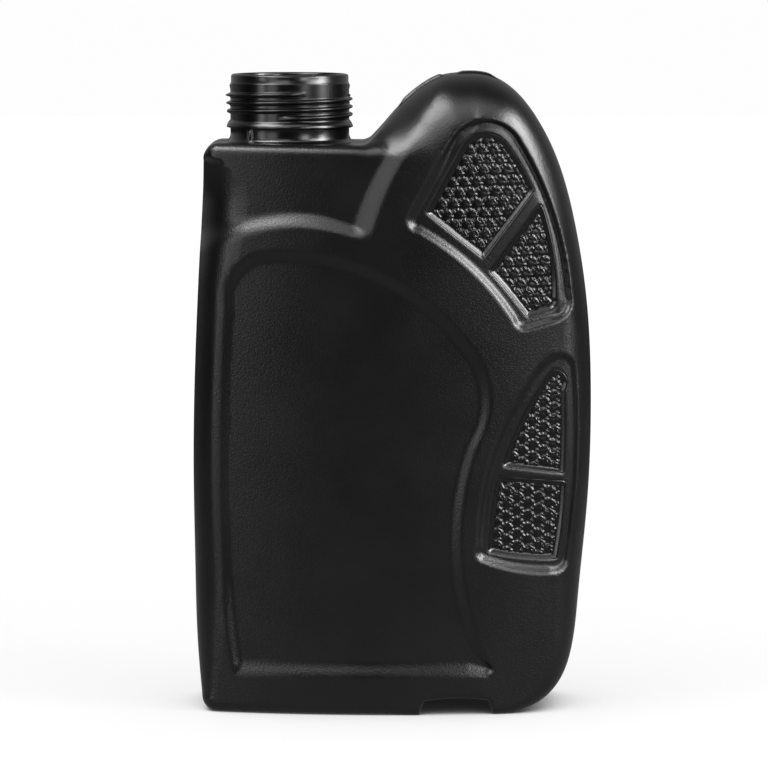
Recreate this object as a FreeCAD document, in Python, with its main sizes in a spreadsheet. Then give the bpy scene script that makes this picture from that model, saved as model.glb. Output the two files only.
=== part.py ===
import FreeCAD, Part
import math
import os

Vector = FreeCAD.Vector

# Frame: millimetres. X runs from the narrow marked side to the handle side, Y from the front panel
# to the back panel, Z up. The origin is on the ground under the middle of the bottle.

os.makedirs("parts", exist_ok=True)
doc = FreeCAD.newDocument("MotorOilBottle")
sheet = doc.addObject("Spreadsheet::Sheet", "Sizes")

# Driving dimensions
SIZES = {
    # whole bottle
    "wall": 1.2,
    "half_depth": 29.0,
    "face_radius": 275.0,
    "side_reach": 68.3,
    "handle_reach": 68.2,
    "shoulder_height": 195.2,
    "hump_height": 217.8,
    "side_edge_radius": 9.0,
    "handle_edge_radius": 8.0,
    "shoulder_edge_radius": 4.2,
    "base_edge_radius": 3.5,
    # reliefs of the front and back panels
    "shoulder_inset": 2.5,
    "label_depth": 1.2,
    "grip_depth": 1.4,
    "pocket_depth": 1.0,
    # neck finish
    "neck_offset": 35.1,
    "neck_radius": 20.2,
    "bore_radius": 18.0,
    "neck_top": 217.5,
    "flare_reach": 3.5,
    "flare_height": 1.4,
    "bead_level": 199.2,
    "bead_radius": 21.5,
    "bead_slope": 2.2,
    "thread_pitch": 2.7,
    "thread_turns": 3.05,
    "thread_crest": 1.15,
    "thread_root_width": 1.8,
    "thread_crest_width": 0.5,
    "thread_start_level": 202.8,
    "thread_start_angle": 100.0,
    # graduation marks on the narrow side
    "mark_count": 11,
    "mark_pitch": 13.8,
    "mark_first_level": 16.7,
    "mark_depth": 0.35,
    "mark_height": 2.0,
    "mark_width": 16.0,
    # raised pads on the spine of the handle
    "spine_pad_width": 20.0,
    # base
    "arch_middle": 21.8,
    "arch_width": 25.0,
    "arch_height": 5.2,
    "arch_corner": 2.5,
    "push_up": 1.5,
    "push_up_left": 55.0,
    "push_up_right": 38.0,
    "base_ring": 9.0,
}
for row, (alias, value) in enumerate(SIZES.items(), start=1):
    sheet.set("A%d" % row, alias)
    sheet.set("B%d" % row, str(value))
    sheet.setAlias("B%d" % row, alias)
doc.recompute()


# How far the blocks that cut or trim reach past the bottle, and where they begin below the ground
CLEAR = 10
WIDE = "2 * (Sizes.half_depth + %d)" % CLEAR
BELOW = "-30"

# The narrow marked side is part of a large circle about this level
SIDE_BOW_LEVEL = 76
SIDE_BOW_RADIUS = 1376.5

# The shoulder block reaches down into the main block and under the hump
SHOULDER_FOOT = 140
SHOULDER_END = 10


def size(alias):
    return float(sheet.get(alias))


# Outlines. Every outline runs clockwise as the camera sees it, so the material lies to the right.

def inward(curve, parameter, inset):
    """The point of the curve at this parameter, moved into the material by inset."""
    along = Vector(*curve.tangent(parameter)[0])
    here = curve.value(parameter)
    return here + Vector(along.y, -along.x, 0) * inset


def line(start, end):
    return Part.LineSegment(Vector(start[0], start[1], 0), Vector(end[0], end[1], 0))


def arc(start, middle, end):
    return Part.Arc(*[Vector(x, z, 0) for x, z in (start, middle, end)])


def spline(points, inset=0.0):
    """A smooth curve through the points, or one that keeps a distance of inset inside it."""
    curve = Part.BSplineCurve()
    curve.interpolate([Vector(x, z, 0) for x, z in points])
    if inset == 0.0:
        return curve
    moved = [inward(curve, curve.parameter(Vector(x, z, 0)), inset) for x, z in points]
    parallel = Part.BSplineCurve()
    parallel.interpolate(moved)
    return parallel


def ends(curve):
    first, last = curve.value(curve.FirstParameter), curve.value(curve.LastParameter)
    return (first.x, first.y), (last.x, last.y)


def blend(before, after, pull):
    """A curve that runs on smoothly from the end of one curve into the start of the next."""
    leaving = Vector(*before.tangent(before.LastParameter)[0])
    arriving = Vector(*after.tangent(after.FirstParameter)[0])
    curve = Part.BSplineCurve()
    curve.interpolate(
        Points=[before.value(before.LastParameter), after.value(after.FirstParameter)],
        InitialTangent=leaving * pull,
        FinalTangent=arriving * pull,
    )
    return curve


def closed(curves, corners=()):
    """The curves in order, joined by lines, and closed by lines through the corners."""
    pieces = []
    start = here = ends(curves[0])[0]
    for curve in curves:
        first, last = ends(curve)
        if math.dist(here, first) > 1e-6:
            pieces.append(line(here, first))
        pieces.append(curve)
        here = last
    for there in (*corners, start):
        if math.dist(here, there) > 1e-6:
            pieces.append(line(here, there))
        here = there
    return pieces


def path(start, *steps):
    """A closed outline of lines, given as (end,), and arcs, given as (middle, end)."""
    curves = []
    here = start
    for step in steps:
        there = step[-1]
        curves.append(line(here, there) if len(step) == 1 else arc(here, step[0], there))
        here = there
    return closed(curves)


# Document objects

def pad(label, pieces, length):
    """A body with one outline on the upright middle plane, padded evenly to front and back."""
    body = doc.addObject("PartDesign::Body", label)
    plane = next(item for item in body.Origin.OriginFeatures if item.Role == "XZ_Plane")
    outline = body.newObject("Sketcher::SketchObject", label + "Outline")
    outline.AttachmentSupport = [(plane, "")]
    outline.MapMode = "FlatFace"
    outline.addGeometry(pieces)
    solid = body.newObject("PartDesign::Pad", label + "Pad")
    solid.Profile = outline
    solid.Midplane = True
    solid.setExpression("Length", length)
    body.Tip = solid
    return body


def combine(kind, label, *parts):
    """A Part::Cut, Part::Common or Part::MultiFuse of the given objects."""
    result = doc.addObject("Part::" + kind, label)
    if kind == "MultiFuse":
        result.Shapes = list(parts)
    else:
        result.Base, result.Tool = parts
    result.Refine = True
    doc.recompute()
    return result


def rounded(label, base, radius, chosen):
    """Fillet the edges of the base object whose middle point passes the chosen test."""
    doc.recompute()
    result = doc.addObject("Part::Fillet", label)
    result.Base = base
    edges = []
    for number, edge in enumerate(base.Shape.Edges, start=1):
        middle = edge.valueAt((edge.FirstParameter + edge.LastParameter) / 2)
        if chosen(edge, middle):
            edges.append((number, radius, radius))
    result.Edges = edges
    doc.recompute()
    return result


def lens(label, depth, bottom, foot_radius=None):
    """The space between the bowed front and back faces, each depth away from the middle plane."""
    drums = []
    for side, sign in (("Front", ""), ("Back", "-")):
        drum = doc.addObject("Part::Cylinder", label + side)
        drum.setExpression("Radius", "Sizes.face_radius")
        drum.setExpression("Height", "Sizes.hump_height + 60")
        drum.setExpression("Placement.Base.y", "%s(Sizes.face_radius - (%s))" % (sign, depth))
        drum.setExpression("Placement.Base.z", bottom)
        if foot_radius is not None:
            drum = rounded(label + side + "Foot", drum, foot_radius,
                           lambda edge, middle: edge.Closed and middle.z < size("hump_height") / 2)
        drums.append(drum)
    return combine("Common", label, *drums)


# The blown form: the main block with the handle hump, and the shoulder block

def main_outline(inset):
    """Narrow side, slope under the shoulder, hump over the handle, right side down to the base."""
    left, right, top = size("side_reach"), size("handle_reach"), size("hump_height")
    corner = (-left + 2.8 + inset, 163.8 - 0.6 * inset)
    side = arc((corner[0], -12), (-left + inset, SIDE_BOW_LEVEL), corner)
    band = arc(corner, (-40, 170.9 - inset), (-18 - 0.3 * inset, 168.3 - inset))
    hump = spline([
        (-8.9, 176), (-8, 187), (-4.2, 199), (2.5, top - 11), (9.5, top - 4.9), (18.5, top - 0.7),
        (28.5, top), (37.6, top - 2.8), (48.6, top - 14.1), (56.9, 187), (right - 5.8, 166.8),
        (right - 1.5, 140.1), (right, 103), (right - 1.1, 70.3), (right - 4.2, 38.8),
        (right - 6.6, 21.2), (57, 10.5), (50, 3.9), (42, 0), (30, -3),
    ], inset)
    return closed([side, band, blend(band, hump, 14), hump],
                  [(ends(hump)[1][0], -20), (ends(side)[0][0], -20)])


def form(tag, inset, inset_value):
    """The whole blown shape, or with an inset of one wall the space inside it."""
    depth = "Sizes.half_depth - " + inset

    main = pad(tag + "Main", main_outline(inset_value), WIDE)
    main = combine("Common", tag + "Bowed", main, lens(tag + "Lens", depth, BELOW))
    main = rounded(tag + "Sides", main, size("side_edge_radius") - inset_value,
                   lambda edge, middle: middle.x < -60 and abs(middle.y) > 1 and edge.Length > 100)
    main = rounded(tag + "Rim", main, size("handle_edge_radius") - inset_value,
                   lambda edge, middle: abs(middle.y) > 1
                   and ((middle.z > 150 and middle.x > -60) or (edge.Length > 200 and middle.x > 0)))
    ground = doc.addObject("Part::Box", tag + "AboveGround")
    for name, value in (("Length", "Sizes.side_reach + Sizes.handle_reach + %d" % (2 * CLEAR)),
                        ("Width", WIDE), ("Height", "Sizes.hump_height + %d" % CLEAR),
                        ("Placement.Base.x", "-Sizes.side_reach - %d" % CLEAR),
                        ("Placement.Base.y", "-Sizes.half_depth - %d" % CLEAR),
                        ("Placement.Base.z", inset)):
        ground.setExpression(name, value)
    main = combine("Common", tag + "Cut", main, ground)
    main = rounded(tag + "Foot", main, size("base_edge_radius") - inset_value,
                   lambda edge, middle: middle.z < inset_value + 0.01)

    top = size("shoulder_height") - inset_value
    left = -size("side_reach") + 3.1 + inset_value
    shoulder = pad(tag + "Shoulder",
                   path((left, SHOULDER_FOOT), ((left, top),), ((SHOULDER_END, top),),
                        ((SHOULDER_END, SHOULDER_FOOT),)), WIDE)
    bow = lens(tag + "ShoulderLens", depth + " - Sizes.shoulder_inset", BELOW)
    shoulder = combine("Common", tag + "ShoulderBowed", shoulder, bow)
    shoulder = rounded(tag + "ShoulderSides", shoulder, size("side_edge_radius") - inset_value,
                       lambda edge, middle: middle.x < left + 1 and abs(middle.y) > 1
                       and SHOULDER_FOOT + 1 < middle.z < top - 1)
    shoulder = rounded(tag + "ShoulderTop", shoulder, size("shoulder_edge_radius") - inset_value,
                       lambda edge, middle: middle.z > top - 0.01 and middle.x < SHOULDER_END - 0.1)
    return combine("MultiFuse", tag + "Form", main, shoulder)


# Reliefs of the two panels. Each has one outline, and a floor that is bowed like the face around it.

LABEL = path(
    (-53.2, 15.7), ((-58.2, 88), (-55, 143.5)), ((-51.5, 152.6), (-40, 157)),
    ((-3, 149.3), (25.7, 124.5)), ((32.2, 109.5), (27.1, 92.4)), ((21.4, 60), (27.5, 26.2)),
    ((30.5, 20.4), (34.2, 15.7)),
)
UPPER_GRIP = path(
    (6.6, 170.8), ((20.3, 196),), ((31.3, 202.4), (42.7, 195.6)), ((54.8, 169.5), (60, 143)),
    ((59, 137.6), (54.6, 135.2)), ((46, 132.9),), ((43.4, 132.9), (41.4, 135.4)),
    ((27.2, 152.7), (9.2, 165.9)), ((6.2, 168), (6.6, 170.8)),
)
LOWER_GRIP = path(
    (53.6, 121.6), ((58, 122.6), (61.6, 118)), ((62.6, 98), (61.2, 68.3)), ((59.4, 53),),
    ((58, 50.2), (54, 49.2)), ((44, 50), (31.4, 53.5)), ((29.8, 54.5), (29.7, 57.4)),
    ((33.3, 85), (46, 112.5)), ((49.8, 118.2), (53.6, 121.6)),
)
POCKETS = {
    "Crown": path(
        (12.3, 171.4), ((24.5, 193.8),), ((31, 197.6), (38.5, 193.8)), ((44, 185.3), (47.2, 178.7)),
        ((30.6, 156.8),), ((22, 163.6), (12.3, 171.4)),
    ),
    "Flank": path(
        (50, 173.2), ((53.8, 158.5), (54.9, 142)), ((54.6, 139.6), (52.5, 138.6)),
        ((45.9, 136.6),), ((40.4, 143.7), (33.6, 151.6)),
    ),
    "Waist": path(
        (55.2, 117.2), ((57.2, 116.4), (58, 111.1)), ((58.2, 97), (57.8, 82.9)), ((38.3, 85.6),),
        ((43.8, 99.5), (53.4, 115.4)),
    ),
    "Hip": path(
        (36.4, 81), ((58.2, 78.9),), ((57.3, 66), (55.5, 53.6)), ((44.5, 54.3), (33.2, 56.3)),
        ((34.2, 69), (36.4, 81)),
    ),
}


def grown(pieces, distance):
    """The outline of lines and arcs moved outward by the distance."""
    face = Part.Face(Part.Wire([piece.toShape() for piece in pieces]))
    moved = []
    for edge in face.makeOffset2D(distance).OuterWire.OrderedEdges:
        first, last = edge.FirstParameter, edge.LastParameter
        if isinstance(edge.Curve, Part.Circle):
            moved.append(Part.ArcOfCircle(edge.Curve, first, last))
        else:
            moved.append(Part.LineSegment(edge.valueAt(first), edge.valueAt(last)))
    return moved


def relief(label, pieces, depth):
    """What a recess with this outline takes away from the front and the back."""
    block = pad(label, pieces, WIDE)
    floor = lens(label + "Floor", "Sizes.half_depth - (%s)" % depth, BELOW)
    return combine("Cut", label + "Recess", block, floor)


def reliefs(tag, extra, extra_value):
    """The label panel, both grips and their four pockets, as seen from outside or inside."""
    def outline(pieces):
        return grown(pieces, extra_value) if extra_value else pieces

    deep = "Sizes.grip_depth + Sizes.pocket_depth" + extra
    cuts = [
        relief(tag + "Label", outline(LABEL), "Sizes.label_depth" + extra),
        relief(tag + "UpperGrip", outline(UPPER_GRIP), "Sizes.grip_depth" + extra),
        relief(tag + "LowerGrip", outline(LOWER_GRIP), "Sizes.grip_depth" + extra),
    ]
    for name, pieces in POCKETS.items():
        cuts.append(relief(tag + name, outline(pieces), deep))
    return cuts


def under_base(tag, extra, extra_value):
    """The arched passage across the base and the raised middle of the base."""
    middle, half = size("arch_middle"), size("arch_width") / 2 + extra_value
    height, corner = size("arch_height") + extra_value, size("arch_corner") + extra_value
    turn = corner * (1 - math.sqrt(0.5))
    arch = pad(tag + "Arch", path(
        (middle - half, -1),
        ((middle - half, height - corner),),
        ((middle - half + turn, height - turn), (middle - half + corner, height)),
        ((middle + half - corner, height),),
        ((middle + half - turn, height - turn), (middle + half, height - corner)),
        ((middle + half, -1),),
    ), WIDE)
    left, right = size("push_up_left") + extra_value, size("push_up_right") + extra_value
    raise_to = size("push_up") + extra_value
    raised = pad(tag + "PushUp", path(
        (-left, -1),
        ((-left, raise_to),),
        ((right, raise_to),),
        ((right, -1),),
    ), WIDE)
    ring = lens(tag + "Ring", "Sizes.half_depth - Sizes.base_ring" + extra, BELOW)
    return [arch, combine("Common", tag + "Raised", raised, ring)]


# Neck finish: tube, foot flare, snap bead and thread

def upright(kind, label, **values):
    """A cylinder or cone on the axis of the neck."""
    solid = doc.addObject("Part::" + kind, label)
    solid.setExpression("Placement.Base.x", "-Sizes.neck_offset")
    for name, value in values.items():
        solid.setExpression("Placement.Base.z" if name == "Level" else name, value)
    return solid


def neck():
    tube = upright("Cylinder", "NeckTube", Radius="Sizes.neck_radius",
                   Level="Sizes.shoulder_height - 2", Height="Sizes.neck_top - Sizes.shoulder_height + 2")
    flare = upright("Cone", "NeckFlare", Radius1="Sizes.neck_radius + Sizes.flare_reach", Radius2="Sizes.neck_radius",
                    Level="Sizes.shoulder_height - 0.2", Height="Sizes.flare_height")
    bead = upright("Cone", "SnapBead", Radius1="Sizes.bead_radius", Radius2="Sizes.neck_radius",
                   Level="Sizes.bead_level", Height="Sizes.bead_slope")
    return [tube, flare, bead]


def thread():
    """A right-handed, single-start thread of about three turns."""
    helix = doc.addObject("Part::Helix", "ThreadPath")
    helix.setExpression("Pitch", "Sizes.thread_pitch")
    helix.setExpression("Height", "Sizes.thread_pitch * Sizes.thread_turns")
    helix.setExpression("Radius", "Sizes.neck_radius")
    root, crest = size("thread_root_width") / 2, size("thread_crest_width") / 2
    inner_edge = size("neck_radius") - 0.3
    outer_edge = size("neck_radius") + size("thread_crest")
    corners = [(inner_edge, -root), (outer_edge, -crest), (outer_edge, crest), (inner_edge, root)]
    profile = doc.addObject("Part::Feature", "ThreadProfile")
    profile.Shape = Part.makePolygon([Vector(x, 0, z) for x, z in corners + corners[:1]])
    doc.recompute()
    sweep = doc.addObject("Part::Sweep", "Thread")
    sweep.Sections = [profile]
    sweep.Spine = (helix, ["Edge%d" % (number + 1) for number in range(len(helix.Shape.Edges))])
    sweep.Solid = True
    sweep.Frenet = True
    sweep.Placement = FreeCAD.Placement(
        Vector(-size("neck_offset"), 0, size("thread_start_level")),
        FreeCAD.Rotation(Vector(0, 0, 1), -size("thread_start_angle")))
    doc.recompute()
    return sweep


# Small things on the outside

def spine_pads():
    """Two low raised pads on the narrow back of the handle hump."""
    top = size("hump_height")
    rear = pad("RearSpinePad", path(
        (4.5, top - 9.5), ((9.7, top - 3.2), (16.6, top - 0.3))), "Sizes.spine_pad_width")
    front = pad("TopSpinePad", path(
        (23, top - 0.2), ((27.8, top + 0.65), (32.9, top - 0.6))), "Sizes.spine_pad_width")
    return [rear, front]


def marks():
    """Graduation grooves down the narrow side, one to each hundred millilitres."""
    depth, height = size("mark_depth"), size("mark_height")
    radius = (height ** 2 / 4 + depth ** 2) / (2 * depth)
    grooves = []
    for number in range(int(size("mark_count"))):
        groove = doc.addObject("Part::Cylinder", "Mark%02d" % (number + 1))
        level = "Sizes.mark_first_level + %d * Sizes.mark_pitch" % number
        groove.Radius = radius
        groove.setExpression("Height", "Sizes.mark_width")
        groove.Placement.Rotation = FreeCAD.Rotation(Vector(1, 0, 0), -90)
        groove.setExpression("Placement.Base.y", "-Sizes.mark_width / 2")
        groove.setExpression("Placement.Base.z", level)
        groove.setExpression("Placement.Base.x", "-Sizes.side_reach + (%s - %g) ^ 2 / %g "
                             "- %.4f + Sizes.mark_depth"
                             % (level, SIDE_BOW_LEVEL, 2 * SIDE_BOW_RADIUS, radius))
        grooves.append(groove)
    return grooves


# The bottle: the blown form with its reliefs, hollowed, with neck and open mouth

outside = combine("MultiFuse", "OutsideWhole", form("Outer", "0", 0.0), *spine_pads())
taken_outside = reliefs("Outer", "", 0.0) + under_base("Outer", "", 0.0) + marks()
outside = combine("Cut", "Outside", outside, combine("MultiFuse", "TakenOutside", *taken_outside))

wall = size("wall")
taken_inside = reliefs("Inner", " + Sizes.wall", wall) + under_base("Inner", " + Sizes.wall", wall)
hollow = combine("Cut", "Hollow", form("Inner", "Sizes.wall", wall),
                 combine("MultiFuse", "TakenInside", *taken_inside))
bore = upright("Cylinder", "NeckBore", Radius="Sizes.bore_radius",
               Level="Sizes.shoulder_height - 8", Height="Sizes.neck_top - Sizes.shoulder_height + 9")

skin = combine("MultiFuse", "WithNeck", outside, *neck(), thread())
bottle = combine("Cut", "Bottle", skin, combine("MultiFuse", "InsideSpace", hollow, bore))
bottle.Label = "bottle"
doc.recompute()

# Checks before anything is written

for item in doc.Objects:
    if "Invalid" in item.State or "Error" in item.State:
        raise RuntimeError("%s did not compute" % item.Label)
if bottle.Shape.isNull() or not bottle.Shape.isValid() or len(bottle.Shape.Solids) != 1:
    raise RuntimeError("the bottle is not one valid solid")

bottle.Shape.exportStep("parts/bottle.step")
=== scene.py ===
# %% [markdown]
# # A blown oil bottle in black polyethylene
#
# The real bottle is one piece of black polyethylene, blown inside a steel mould. Every edge that the
# mould gives it is soft, because the plastic never quite fills a sharp corner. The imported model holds
# the true sizes. This lesson gives it the soft skin, the fine moulded grip and the satin finish.

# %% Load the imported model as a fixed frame
import math
import bmesh
import bpy
import numpy as np
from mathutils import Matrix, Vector
from mathutils.geometry import delaunay_2d_cdt


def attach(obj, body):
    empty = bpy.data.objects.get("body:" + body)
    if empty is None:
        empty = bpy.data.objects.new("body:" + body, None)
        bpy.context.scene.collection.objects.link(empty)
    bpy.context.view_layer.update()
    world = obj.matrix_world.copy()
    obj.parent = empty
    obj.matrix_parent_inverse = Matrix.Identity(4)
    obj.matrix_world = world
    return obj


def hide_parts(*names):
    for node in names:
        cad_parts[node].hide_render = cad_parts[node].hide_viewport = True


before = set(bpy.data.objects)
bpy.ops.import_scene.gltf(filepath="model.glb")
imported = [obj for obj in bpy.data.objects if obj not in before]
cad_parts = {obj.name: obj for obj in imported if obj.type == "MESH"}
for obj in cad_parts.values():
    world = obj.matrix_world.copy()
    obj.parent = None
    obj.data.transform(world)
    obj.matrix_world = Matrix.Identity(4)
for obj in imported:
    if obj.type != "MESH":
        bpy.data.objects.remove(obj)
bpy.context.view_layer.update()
MM = 0.001

# %% [markdown]
# ## Sizes of the blown form
#
# All sizes are millimetres in the bottle's own frame: X to the handle side, Y to the back, Z up.
# The front and back faces are bowed, each part of a large circle, so a size is kept as the depth at the
# middle and the radius of the bow. The model's box gives the overall sizes.

# %% Overall sizes
HALF_DEPTH = 29.0
FACE_RADIUS = 275.0
SIDE_X = -68.3
HANDLE_X = 68.2
SHOULDER_Z = 194.6
HUMP_Z = 217.8


def bowed_depth(x):
    """Distance of the bowed face from the middle plane at this x."""
    return HALF_DEPTH - (FACE_RADIUS - np.sqrt(FACE_RADIUS ** 2 - x ** 2))


print("depth at the middle %.1f, at the marked side %.1f" % (bowed_depth(0.0), bowed_depth(SIDE_X)))

# %% [markdown]
# ## Outlines from arcs and smooth curves
#
# A drawing of the bottle has only lines, arcs and a few free curves. Two helpers turn them into rows of
# points: one for lines and three-point arcs, one for a smooth curve through chosen points. The curve is
# a natural cubic spline, because its bend changes gently and the highlights that run along it stay clean.

# %% Helpers for outlines


def arc_points(start, middle, end, step):
    """Points on the circle through the three points, without the last one."""
    a, m, b = (np.array(p, float) for p in (start, middle, end))
    ax, ay, mx, my, bx, by = *a, *m, *b
    det = 2 * (ax * (my - by) + mx * (by - ay) + bx * (ay - my))
    if abs(det) < 1e-9:
        return line_points(start, end, step)
    sa, sm, sb = a @ a, m @ m, b @ b
    centre = np.array([sa * (my - by) + sm * (by - ay) + sb * (ay - my),
                       sa * (bx - mx) + sm * (ax - bx) + sb * (mx - ax)]) / det
    radius = np.linalg.norm(a - centre)
    angles = [math.atan2(*(p - centre)[::-1]) for p in (a, m, b)]
    turn = (angles[2] - angles[0]) % (2 * math.pi)
    if (angles[1] - angles[0]) % (2 * math.pi) > turn:
        turn -= 2 * math.pi
    count = max(2, int(abs(turn) * radius / step))
    sweep = angles[0] + turn * np.arange(count) / count
    return centre + radius * np.column_stack([np.cos(sweep), np.sin(sweep)])


def line_points(start, end, step):
    """Points on a straight line, without the last one."""
    start, end = np.array(start, float), np.array(end, float)
    count = max(1, int(np.linalg.norm(end - start) / step))
    return start + (end - start) * (np.arange(count) / count)[:, None]


def outline(start, *steps, step=0.6):
    """A closed outline of lines, given as (end,), and arcs, given as (middle, end)."""
    rows, here = [], start
    for leg in steps:
        there = leg[-1]
        if len(leg) == 1:
            rows.append(line_points(here, there, step))
        else:
            rows.append(arc_points(here, leg[0], there, step))
        here = there
    if math.dist(here, start) > 1e-6:
        rows.append(line_points(here, start, step))
    return np.vstack(rows)


def smooth_points(points, step):
    """Points on a natural cubic spline through the given points, without the last one."""
    knots = np.array(points, float)
    at = np.concatenate([[0], np.cumsum(np.linalg.norm(np.diff(knots, axis=0), axis=1))])
    gaps = np.diff(at)
    size = len(at)
    left, right = np.eye(size), np.zeros((size, 2))
    for k in range(1, size - 1):
        left[k, k - 1:k + 2] = gaps[k - 1], 2 * (gaps[k - 1] + gaps[k]), gaps[k]
        right[k] = 6 * ((knots[k + 1] - knots[k]) / gaps[k] - (knots[k] - knots[k - 1]) / gaps[k - 1])
    bend = np.linalg.solve(left, right)
    count = max(2, int(at[-1] / step))
    here = at[-1] * np.arange(count) / count
    k = np.clip(np.searchsorted(at, here, side="right") - 1, 0, size - 2)
    after, before, gap = (at[k + 1] - here)[:, None], (here - at[k])[:, None], gaps[k][:, None]
    return ((bend[k] * after ** 3 + bend[k + 1] * before ** 3) / (6 * gap)
            + (knots[k] / gap - bend[k] * gap / 6) * after
            + (knots[k + 1] / gap - bend[k + 1] * gap / 6) * before)


# %% [markdown]
# ## The silhouette
#
# Seen from the front the bottle is one closed line: up the marked side, along the shoulder, over the
# hump that serves as a handle, down the right side and back along the base, with a low arch cut across
# it. Each stretch also says how round the edge between that side and the front face is. A blown bottle
# has soft upright edges, softest over the crown of the hump, a tighter one at the shoulder and the
# tightest at the arch. Where one stretch meets the next, the radius is averaged along the line, so that
# the edge changes gently.

# %% Silhouette stretches and their edge radii
UPRIGHT_RADIUS = 12.5
UPPER_SIDE_RADIUS = 16.0
CROWN_RADIUS = 23.0
SHOULDER_RADIUS = 3.6
CORNER_RADIUS = 4.0
BASE_RADIUS = 3.6
ARCH_RADIUS = 1.3

silhouette_stretches = [
    (smooth_points([(-65.3, 5.2), (-66.6, 18), (-67.9, 52), (SIDE_X, 80), (-67.6, 119), (-65.7, 160),
                    (-64.3, 188.6)], 0.5), UPRIGHT_RADIUS),
    (arc_points((-64.3, 188.6), (-62.5, 193.0), (-58.2, SHOULDER_Z), 0.4), SHOULDER_RADIUS),
    (line_points((-58.2, SHOULDER_Z), (-10.6, SHOULDER_Z - 0.5), 0.8), SHOULDER_RADIUS),
    (arc_points((-10.6, SHOULDER_Z - 0.5), (-8.3, 194.7), (-6.6, 196.2), 0.4), CORNER_RADIUS),
    (smooth_points([(-6.6, 196.2), (-3.4, 199.9), (2, 206.3), (9.5, HUMP_Z - 4.8), (17.5, HUMP_Z - 0.7),
                    (24.5, HUMP_Z + 0.1), (31.0, HUMP_Z - 0.2), (37.6, HUMP_Z - 2.8), (48.6, HUMP_Z - 14.1),
                    (56.9, 187), (62.4, 166.8), (66.6, 140.1), (HANDLE_X, 104), (67.3, 74), (64.0, 38.8),
                    (61.7, 21.2), (58.2, 11.4), (51.5, 4.1), (41.5, 0.0)], 1.0), UPRIGHT_RADIUS),
    (line_points((41.5, 0), (34.4, 0), 1.0), BASE_RADIUS),
    (line_points((34.4, 0), (33.0, 4.1), 0.6), ARCH_RADIUS),
    (arc_points((33.0, 4.1), (32.5, 4.8), (31.7, 5.0), 0.3), ARCH_RADIUS),
    (arc_points((31.7, 5.0), (21.8, 5.7), (11.9, 5.0), 1.2), ARCH_RADIUS),
    (arc_points((11.9, 5.0), (11.0, 4.8), (10.5, 4.1), 0.3), ARCH_RADIUS),
    (line_points((10.5, 4.1), (9.2, 0), 0.6), ARCH_RADIUS),
    (line_points((9.2, 0), (-60.8, 0), 1.6), BASE_RADIUS),
    (arc_points((-60.8, 0), (-63.9, 1.6), (-65.3, 5.2), 0.4), BASE_RADIUS),
]
silhouette = np.vstack([points for points, _ in silhouette_stretches])
edge_radius = np.concatenate([np.full(len(points), radius) for points, radius in silhouette_stretches])


def along_loop(loop):
    """Distance of each point of a closed loop from its first, and the loop's length."""
    legs = np.linalg.norm(np.roll(loop, -1, axis=0) - loop, axis=1)
    return np.concatenate([[0], np.cumsum(legs)[:-1]]), legs.sum()


def averaged(values, loop, reach):
    """Each value replaced by the mean of its neighbours up to reach away along the loop."""
    place, length = along_loop(loop)
    gap = np.abs(place[:, None] - place[None, :])
    gap = np.minimum(gap, length - gap)
    weight = np.clip(1 - gap / reach, 0, None)
    return (weight @ values) / weight.sum(axis=1)


def outward(loop):
    """Unit normals of a clockwise loop, pointing away from the material."""
    along = np.roll(loop, -1, axis=0) - np.roll(loop, 1, axis=0)
    normal = np.column_stack([-along[:, 1], along[:, 0]])
    return normal / np.linalg.norm(normal, axis=1)[:, None]


FOOT_FROM = 2.0
FOOT_RISE = 45.0
FOOT_POWER = 0.6
UPPER_FROM = 150.0
UPPER_RISE = 20.0
MARKED_SIDE_TO = -50.0
CROWN_X = 16.0
CROWN_REACH = 26.0
LONG_MEAN = 14.0
SHORT_MEAN = 5.0
x, z = silhouette.T
foot = np.clip((z - FOOT_FROM) / FOOT_RISE, 0, 1) ** FOOT_POWER
crown = np.exp(-((x - CROWN_X) / CROWN_REACH) ** 4) * (z > UPPER_FROM)
upper = np.clip((z - UPPER_FROM) / UPPER_RISE, 0, 1) * (x < MARKED_SIDE_TO)
upright = BASE_RADIUS + (UPRIGHT_RADIUS - BASE_RADIUS) * foot
upright = upright + (CROWN_RADIUS - UPRIGHT_RADIUS) * crown + (UPPER_SIDE_RADIUS - UPRIGHT_RADIUS) * upper
edge_radius = np.where(edge_radius == UPRIGHT_RADIUS, upright, edge_radius)
edge_radius = np.minimum(averaged(edge_radius, silhouette, LONG_MEAN),
                         averaged(edge_radius, silhouette, SHORT_MEAN))
side_normal = outward(silhouette)
print("silhouette points", len(silhouette), "box", silhouette.min(axis=0), silhouette.max(axis=0))
print("edge radius from %.1f to %.1f" % (edge_radius.min(), edge_radius.max()))

# %% [markdown]
# ## Distance to an outline
#
# Ramps, pockets and rounded edges all depend on how far a point lies inside an outline. One measure,
# positive inside and negative outside, serves them all, and its smooth step gives the soft edge that
# blown plastic has where it meets the mould. The points are taken in parts, to save memory.

# %% Signed distance and the smooth step
PART = 4000


def inside_by(points, loop):
    """How far each point is inside a closed loop, negative outside."""
    start, along = loop, np.roll(loop, -1, axis=0) - loop
    length = (along ** 2).sum(axis=1) + 1e-12
    result = np.empty(len(points))
    for first in range(0, len(points), PART):
        part = points[first:first + PART]
        rel_x = part[:, None, 0] - start[None, :, 0]
        rel_z = part[:, None, 1] - start[None, :, 1]
        t = np.clip((rel_x * along[:, 0] + rel_z * along[:, 1]) / length, 0, 1)
        near = ((rel_x - t * along[:, 0]) ** 2 + (rel_z - t * along[:, 1]) ** 2).min(axis=1)
        above = part[:, None, 1] < start[None, :, 1] + along[None, :, 1]
        crosses = (part[:, None, 1] < start[None, :, 1]) != above
        with np.errstate(divide="ignore", invalid="ignore"):
            at_x = rel_x - rel_z * along[:, 0] / along[:, 1]
        odd = (crosses & (at_x < 0)).sum(axis=1) % 2 == 1
        result[first:first + PART] = np.where(odd, 1, -1) * np.sqrt(near)
    return result


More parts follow.
